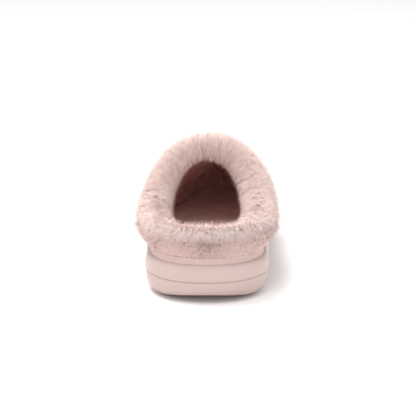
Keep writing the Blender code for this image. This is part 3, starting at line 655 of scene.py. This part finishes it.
def ribbons(name, line, normal, width, tone, finish):
    """Tapered ribbons along the lines, lying with their faces outwards."""
    count = len(line)
    along = unit(np.gradient(line, axis=1))
    side = unit(np.cross(along, normal))
    tilt = rng.normal(0, TILT, count)[:, None, None]
    side = side * np.cos(tilt) + unit(np.cross(side, along)) * np.sin(tilt)
    taper = np.array([1.0, 0.95, 0.6]) / 2
    half = side[:, :3] * (width[:, None] * taper)[:, :, None]
    verts = np.concatenate([line[:, :3] - half, line[:, :3] + half, line[:, 3:]], 1)
    base = (np.arange(count) * CORNERS)[:, None]
    quads = np.concatenate([base + [[0, 3, 4, 1]], base + [[1, 4, 5, 2]]])
    tips = base + [[2, 5, 6]]
    mesh = bpy.data.meshes.new(name)
    mesh.vertices.add(count * CORNERS)
    mesh.vertices.foreach_set("co", (verts.reshape(-1, 3) + SHIFT).ravel())
    corners = np.concatenate([quads.ravel(), tips.ravel()])
    mesh.loops.add(len(corners))
    mesh.loops.foreach_set("vertex_index", corners)
    starts = np.concatenate([np.arange(2 * count) * 4, 8 * count + np.arange(count) * 3])
    mesh.polygons.add(3 * count)
    mesh.polygons.foreach_set("loop_start", starts)
    uv = mesh.uv_layers.new(name="OFBake")
    level = np.tile(LEVELS[[0, 1, 2, 0, 1, 2, 3]], count)
    place = np.stack([level, np.repeat(tone, CORNERS)], 1)[corners]
    uv.data.foreach_set("uv", place.ravel())
    mesh.materials.append(finish)
    mesh.update(calc_edges=True)
    mesh.shade_smooth()
    soft = unit(normal + unit(np.cross(side, along)) * ROUNDNESS)
    soft = np.concatenate([soft[:, :3], soft[:, :3], soft[:, 3:]], 1)
    mesh.normals_split_custom_set_from_vertices(soft.reshape(-1, 3))
    obj = bpy.data.objects.new(name, mesh)
    bpy.context.scene.collection.objects.link(obj)
    return obj


def grow(name, count, columns, pelt, normals, flow, length, rise, finish, slot, lock=LOCK, hold=HOLD,
         spread=SPREAD, width=STRAND_WIDTH, first_row=0, other=None):
    """Combed strands on a run of a ring-shaped pelt's columns.

    The fields flow, length and rise are grids like the pelt. A short flow lets the strands stand up. Where
    strands are combed two ways, other holds the second flow and the share that follows the first.
    """
    patch = pelt[columns % len(pelt)][:, first_row:]
    column, row = scatter(patch, count)
    column, row = column + columns[0], row + first_row
    root, normal = at(pelt, column, row), unit(at(normals, column, row))
    comb = at(flow, column, row)
    if other is not None:
        kept = rng.random(count) < at(other[1], column, row)
        comb = np.where(kept[:, None], comb, at(other[0], column, row))
    comb = comb - normal * (comb * normal).sum(1)[:, None]
    lay = np.minimum(np.linalg.norm(comb, axis=1), 1)
    comb = unit(comb)
    strand = at(length, column, row) * (1 + rng.normal(0, RAGGED, count).clip(-RAGGED_MOST, RAGGED_MOST))
    swirl = waves(root, SWIRL_SIZE, 3) * spread
    member, leaders = locks_of(root + rng.normal(0, lock * LOCK_JITTER, root.shape), lock)
    sway = rng.normal(0, 1, len(leaders))[member]
    stand = rng.normal(0, 1, len(leaders))[member]
    comb = turned(comb, normal, swirl + (sway * 0.6 + rng.normal(0, 0.5, count)) * spread)
    lift = at(rise, column, row) * (1 + stand * 0.08 + rng.normal(0, 0.08, count)).clip(0.6, 1.3)
    guard = rng.random(count) < GUARD_SHARE
    lift = lift * np.where(guard, rng.uniform(1.2, GUARD_LIFT, count), 1)
    reach = np.sqrt(np.maximum(strand ** 2 - lift ** 2, (0.3 * strand) ** 2)) * lay
    line, facing = trace(pelt, normals, (column, row), comb, reach, lift)
    pull = (LEVELS ** HOLD_CURVE * hold)[None, :, None] * rng.uniform(0.5, 1.0, (count, 1, 1))
    drift = rng.normal(0, DRIFT, (count, 1, 3)) * LEVELS[None, :, None]
    line = line + (line[leaders][member] - line) * pull + drift
    tone = (0.5 * rng.random(len(leaders))[member] + 0.5 * rng.random(count)).clip(0, 1)
    thick = width * rng.uniform(0.75, 1.25, count) * np.where(guard, 0.6, 1)
    parts = math.ceil(count / PIECE_STRANDS)
    for part in range(parts):
        chosen = slice(part, None, parts)
        label = name if parts == 1 else f"{name}_{part + 1}"
        settle(ribbons(label, line[chosen], facing[chosen], thick[chosen], tone[chosen], finish), slot)


def across_and_up(grid):
    """Unit tangents of a ring-shaped grid along its columns' order and up its rows."""
    return unit(np.roll(grid, -1, 0) - np.roll(grid, 1, 0)), unit(np.gradient(grid, axis=1))


def make_upper_fur():
    """The vamp's long fur, swept toewards and down, and the heel's short fur, sprayed from a tuft."""
    pile, rise = upper_pile()
    inset = PELT_DEPTH * pile
    pelt = UPPER + UPPER_NORMALS * (FUR_IN + pile - inset)[:, :, None]
    back = UPPER + UPPER_NORMALS * (FUR_IN + PELT_BACK)
    around, up = across_and_up(pelt)
    toeward = around * np.where(np.arange(COLUMNS) < HALF, -1.0, 1.0)[:, None, None]
    vamp = np.arange(COLUMNS - QUARTER_COLUMN, COLUMNS + QUARTER_COLUMN + 1)
    heel = np.arange(QUARTER_COLUMN, COLUMNS - QUARTER_COLUMN + 1)
    tuft = pelt[HALF, int(UPPER_ROWS * TUFT_ROW)]
    spray = (pelt - tuft) / TUFT_SIZE
    spray = spray / np.maximum(np.linalg.norm(spray, axis=2, keepdims=True), 1) - up * TUFT_FALL
    crossed = (up * CROSS_UP - spray * CROSS_IN, np.full(pile.shape, SPRAY_SHARE))
    ahead = ease(AWAY, THROAT - 2, THROAT + 3)
    high = ease(np.arange(UPPER_ROWS + 1), UPPER_ROWS * CROWN_FROM, UPPER_ROWS)
    crown = (ahead[:, None] * high)[:, :, None]
    swept = unit(toeward * (SWEEP_AHEAD + (1 - SWEEP_AHEAD) * crown) - up * SWEEP_DOWN * (1 - crown))
    runs = (("vamp", vamp, VAMP_HAIR, swept, FUR, {}),
            ("heel", heel, HEEL_HAIR, spray, SHORT_FUR, {**HEEL_COMB, "other": crossed}))
    for name, columns, longest, flow, finish, combing in runs:
        ring = columns % COLUMNS
        settle(shell(name + "_pelt", pelt[ring], back[ring], PELT), "fur_pink", name + "_fur")
        length = np.minimum(longest, EDGE_HAIR + rise * HAIR_RISE)
        grow(name + "_strands", STRANDS[name], columns, pelt, UPPER_NORMALS, flow, length, inset, finish,
             "fur_pink", **combing)


def make_roll_fur():
    """The roll round the opening: the collar at the throat and sides, and the back roll at the heel."""
    envelope, columns, angle = roll_envelope()
    around, up = across_and_up(envelope)
    normals = unit(np.cross(around, up))
    crest = ROLL_ROWS // 2
    if np.sum(normals[:, crest] * (envelope[:, crest] - envelope[:, 0])) < 0:
        normals = -normals
    ring = envelope.shape[:2]
    inset = np.broadcast_to(np.interp(angle, ROLL_INSET_ANGLES, ROLL_INSETS), ring)
    pelt = envelope - normals * inset[:, :, None]
    inner = pelt - normals * ROLL_SKIN
    inward_share = np.broadcast_to(ease(angle, PARTING - PARTING_SPREAD, PARTING + PARTING_SPREAD), ring)
    lean = np.where(columns < HALF, LEAN_OUTER, LEAN_INNER) * ease(AWAY[columns], THROAT, THROAT - 4)
    flow = up + around * lean[:, None, None]
    long, short = (np.broadcast_to(np.interp(angle, ROLL_ANGLES, hair), ring)
                   for hair in (LONG_ROLL_HAIR, SHORT_ROLL_HAIR))
    short = short + (long - short) * ease(AWAY[columns], 1.5, QUARTER)[:, None]
    first = QUARTER_COLUMN - THROAT_COLUMN
    back = np.arange(first, len(columns) - first + 1)
    front = np.arange(len(columns) - first, len(columns) + first + 1)
    for name, node, run, finish, length in (("collar", "collar_fur", front, FUR, long),
                                            ("back_roll", "heel_collar_fur", back, ROLL_FUR, short)):
        part = run % len(columns)
        settle(shell(name + "_pelt", pelt[part], inner[part], PELT), "fur_pink", node)
        grow(name + "_strands", STRANDS[name], run, pelt, normals, flow, length, inset, finish, "fur_pink",
             other=(-up, inward_share), hold=HOLD if name == "collar" else ROLL_BACK_HOLD)


def make_linings():
    """Cloth inside the upper, in two halves that meet in a seam over the foot, and the back's plush."""
    floor = rib_angle(sole_height(FOOTBED_TOP - LINING_BELOW_TOP, ALONG))
    grid = rib_grid(floor, TOP_ANGLE, LINING_ROWS)
    normals = ring_normals(grid)
    flat = grid.reshape(-1, 3)
    broad, fine = (waves(flat, size, seed) * deep for size, seed, deep in PUFFS)
    puff = (broad + fine).reshape(grid.shape[:2])
    ends = ease(np.arange(LINING_ROWS + 1), LINING_ROWS, LINING_ROWS - 6)
    closeness = np.abs(grid[:, :, 0] - middle_x(grid[:, :, 1]))
    seam = np.exp(-(closeness / SEAM_WIDTH) ** 2) * CLOSED[:, None]
    pucker = np.sin(grid[:, :, 1] / PUCKER_PITCH) * np.exp(-(closeness / PUCKER_WIDTH) ** 2) * CLOSED[:, None]
    depth = puff * ends + SEAM_DEPTH * seam + PUCKER_DEPTH * pucker
    share = 1 - SIDE_PILE_LOSS * ease(AWAY, 0, QUARTER)
    stand = ease(grid[:, :, 2] - grid[:, :1, 2] - 0.0040, 0, HEEL_PILE_SWELL)
    pile = HEEL_PILE * share[:, None] * stand * (AWAY <= QUARTER)[:, None]
    face = grid + normals * depth[:, :, None]
    behind = grid + normals * (depth + LINING_CLOTH)[:, :, None]
    outer_half = np.arange(0, QUARTER_COLUMN + 1)
    inner_half = np.arange(COLUMNS - QUARTER_COLUMN, COLUMNS + 1) % COLUMNS
    for name, node, part in (("lining_outer_half", "vamp_lining_left", outer_half),
                             ("lining_inner_half", "vamp_lining_right", inner_half)):
        settle(shell(name, behind[part], face[part], LINING), "lining_fabric", node)
    heel = np.arange(QUARTER_COLUMN, COLUMNS - QUARTER_COLUMN + 1)
    cloth = grid - normals * (pile * 0.45)[:, :, None]
    settle(shell("back_lining", behind[heel], cloth[heel], PLUSH), "heel_plush", "heel_lining")
    up = across_and_up(cloth)[1]
    grow("back_lining_strands", STRANDS["back_lining"], heel, cloth, -normals, up,
         np.full(pile.shape, PLUSH_HAIR), PLUSH_RISE + pile * 0.5, PLUSH_FUR, "heel_plush",
         first_row=PLUSH_FIRST_ROW)


# ---------------------------------------------------------------- sole, rand and footbed

def tread_bars():
    """Bars with round ends that press the grooves into the sole's underside."""
    bm = bmesh.new()
    for k in range(int((TREAD_TO - TREAD_FROM) / TREAD_PITCH) + 1):
        along = TREAD_FROM + k * TREAD_PITCH
        reach = float(half_width(along)) - TREAD_MARGIN
        turn = np.linspace(-math.pi / 2, math.pi / 2, 9)
        radius = TREAD_WIDTH / 2
        right = np.stack([reach - radius + radius * np.cos(turn), radius * np.sin(turn)], 1)
        ring = np.concatenate([right, -right]) + (float(middle_x(along)), along)
        low, high = ([bm.verts.new((x + SHIFT[0], y + SHIFT[1], z)) for x, y in ring]
                     for z in (-0.002, TREAD_DEPTH))
        for a in range(len(ring)):
            b = (a + 1) % len(ring)
            bm.faces.new([low[a], low[b], high[b], high[a]])
        bm.faces.new(low[::-1])
        bm.faces.new(high)
    mesh = bpy.data.meshes.new("tread_bars")
    bm.to_mesh(mesh)
    bm.free()
    return bpy.data.objects.new("tread_bars", mesh)


def apply_modifiers(obj):
    """Keep the mesh that the modifiers make, and remove them."""
    graph = bpy.context.evaluated_depsgraph_get()
    baked = bpy.data.meshes.new_from_object(obj.evaluated_get(graph), depsgraph=graph)
    obj.modifiers.clear()
    obj.data = baked


def make_sole():
    """Both tiers of the moulded sole, each a profile of (inset, height) carried round the outline."""
    seat = TIER_HEIGHT - 0.00005
    foot = smooth_line([(0.0125, 0), (0.0090, 0.0006), (0.0058, 0.0019), (0.0034, 0.0040), (0.0017, 0.0070),
                        (0.0009, 0.0105), (0.0006, TIER_HEIGHT - 0.0018), (0.0008, TIER_HEIGHT - 0.0007),
                        (0.0012, seat)], 4)
    rings = [(0.016, 0), *foot, (0.006, seat)]
    outsole = loft("outsole_shell", [outline_ring(*level) for level in rings], EVA)
    bars = tread_bars()
    bpy.context.scene.collection.objects.link(bars)
    cut = outsole.modifiers.new("tread", "BOOLEAN")
    cut.operation, cut.solver, cut.object = "DIFFERENCE", "EXACT", bars
    apply_modifiers(outsole)
    bpy.data.objects.remove(bars)
    settle(outsole, "eva_pink", "outsole")
    wall = smooth_line([(0.0012, TIER_HEIGHT), (0.0006, TIER_HEIGHT + 0.0006), (0.0002, TIER_HEIGHT + 0.0019),
                        (0.0, TIER_HEIGHT + 0.0045), (0.0003, RIM_HEIGHT - 0.0048),
                        (0.0010, RIM_HEIGHT - 0.0022), (0.0022, RIM_HEIGHT - 0.0004),
                        (0.0036, RIM_HEIGHT + 0.0006)], 5)
    rings = [(0.006, TIER_HEIGHT), *wall, (RIM_WALL, RIM_HEIGHT + 0.0006), (RIM_WALL, CUP_FLOOR)]
    settle(loft("midsole_shell", [outline_ring(*level) for level in rings], EVA), "eva_pink", "midsole")


def make_rand():
    """The woven tape between the sole's rim and the fur."""
    grid = rib_grid(rib_angle(sole_height(RIM_HEIGHT - RAND_TUCK, ALONG)), RAND_ANGLE, RAND_ROWS)
    normals = ring_normals(grid, joined=False)
    outer = grid + normals * (FUR_IN + RAND_THICKNESS)
    tape = shell("rand_tape", outer, grid + normals * FUR_IN, RAND, wrap=True)
    settle(tape, "rand_pink", "rand")


def make_footbed():
    """The plush pad under the foot, with a rounded edge."""
    base = FOOTBED_TOP - PLUSH_THICKNESS
    wall = base + FOOTBED_WALL
    rings = [cavity_ring(base, GAP), cavity_ring(wall, GAP)]
    for share in np.linspace(0, 1, 9):
        crown = FOOTBED_CROWN * math.sin(share * math.pi / 2)
        rings.append(cavity_ring(wall + crown, GAP + FOOTBED_EDGE * share))
    plush = loft("footbed_plush_pad", rings, PLUSH)
    settle(plush, "footbed_plush", "footbed_plush")


def finish_hidden_nodes():
    """The layers that the fur, the lining and the plush cover keep their CAD shape."""
    foam = cloth_material("upholstery_foam", (0.62, 0.58, 0.50), (0.76, 0.73, 0.66), 120.0, 2200.0, 0.0006)
    board = weave_material("fibre_board", (0.30, 0.22, 0.15), (0.44, 0.34, 0.25), 500.0)
    backing = weave_material("stiff_backing", (0.44, 0.41, 0.38), (0.60, 0.57, 0.54), 800.0)
    cord = weave_material("filler_cord", (0.60, 0.57, 0.52), (0.78, 0.75, 0.70), 900.0)
    thread = weave_material("seam_thread", (0.36, 0.18, 0.155), (0.54, 0.31, 0.28), 1500.0)
    finishes = {"footbed_foam": foam, "vamp_foam": foam, "heel_foam": foam, "insole_board": board,
                "toe_puff": board, "heel_counter": board, "vamp_backing": backing, "collar_cord": cord,
                "heel_collar_cord": cord, "lining_seam": thread, "quarter_seam_left": thread,
                "quarter_seam_right": thread}
    for name, finish in finishes.items():
        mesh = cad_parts[name].data
        mesh.materials.clear()
        mesh.materials.append(finish)


# ---------------------------------------------------------------- floor, light and camera

def make_stage():
    made, _, _, shader = nodes_of("floor_white")
    shader.inputs["Base Color"].default_value = (0.90, 0.90, 0.90, 1)
    shader.inputs["Roughness"].default_value = 0.9
    shader.inputs["Specular IOR Level"].default_value = 0.1
    corners = [(x * FLOOR_HALF, y * FLOOR_HALF, 0) for x, y in ((-1, -1), (1, -1), (1, 1), (-1, 1))]
    mesh_object("floor", corners, [(0, 1, 2, 3)], made)


def area_light(name, place, target, width, depth, power, colour):
    lamp = bpy.data.lights.new(name, "AREA")
    lamp.shape, lamp.size, lamp.size_y = "RECTANGLE", width, depth
    lamp.energy, lamp.color = power, colour
    obj = bpy.data.objects.new(name, lamp)
    obj.location = place
    obj.rotation_euler = (Vector(target) - Vector(place)).to_track_quat("-Z", "Y").to_euler()
    bpy.context.scene.collection.objects.link(obj)


def make_light():
    world = bpy.data.worlds.new("studio")
    world.use_nodes = True
    sky = world.node_tree.nodes["Background"]
    sky.inputs["Color"].default_value = (1, 1, 1, 1)
    sky.inputs["Strength"].default_value = 0.97
    bpy.context.scene.world = world
    area_light("top_softbox", (-0.5, 0.35, 1.8), (0, 0, 0.03), 1.0, 1.0, 26, (1.0, 0.985, 0.97))
    area_light("back_fill", (-0.15, -0.75, 1.7), (0, -0.09, 0.04), 0.6, 0.6, 8, (1.0, 0.98, 0.965))


def make_camera():
    azimuth, elevation, distance = math.radians(0.3), math.radians(13.0), 1.05
    aim = Vector((-0.0004, 0.0, 0.0386))
    away = Vector((math.sin(azimuth) * math.cos(elevation), -math.cos(azimuth) * math.cos(elevation),
                   math.sin(elevation)))
    lens = bpy.data.cameras.new("camera")
    lens.sensor_width, lens.lens = 36.0, 115.5
    camera = bpy.data.objects.new("camera", lens)
    camera.location = aim + away * distance
    camera.rotation_euler = (-away).to_track_quat("-Z", "Y").to_euler()
    bpy.context.scene.collection.objects.link(camera)
    bpy.context.scene.camera = camera


make_camera()
make_light()
make_stage()
make_sole()
make_rand()
make_footbed()
make_linings()
make_upper_fur()
make_roll_fur()
finish_hidden_nodes()
bpy.context.scene.view_settings.view_transform = "Standard"
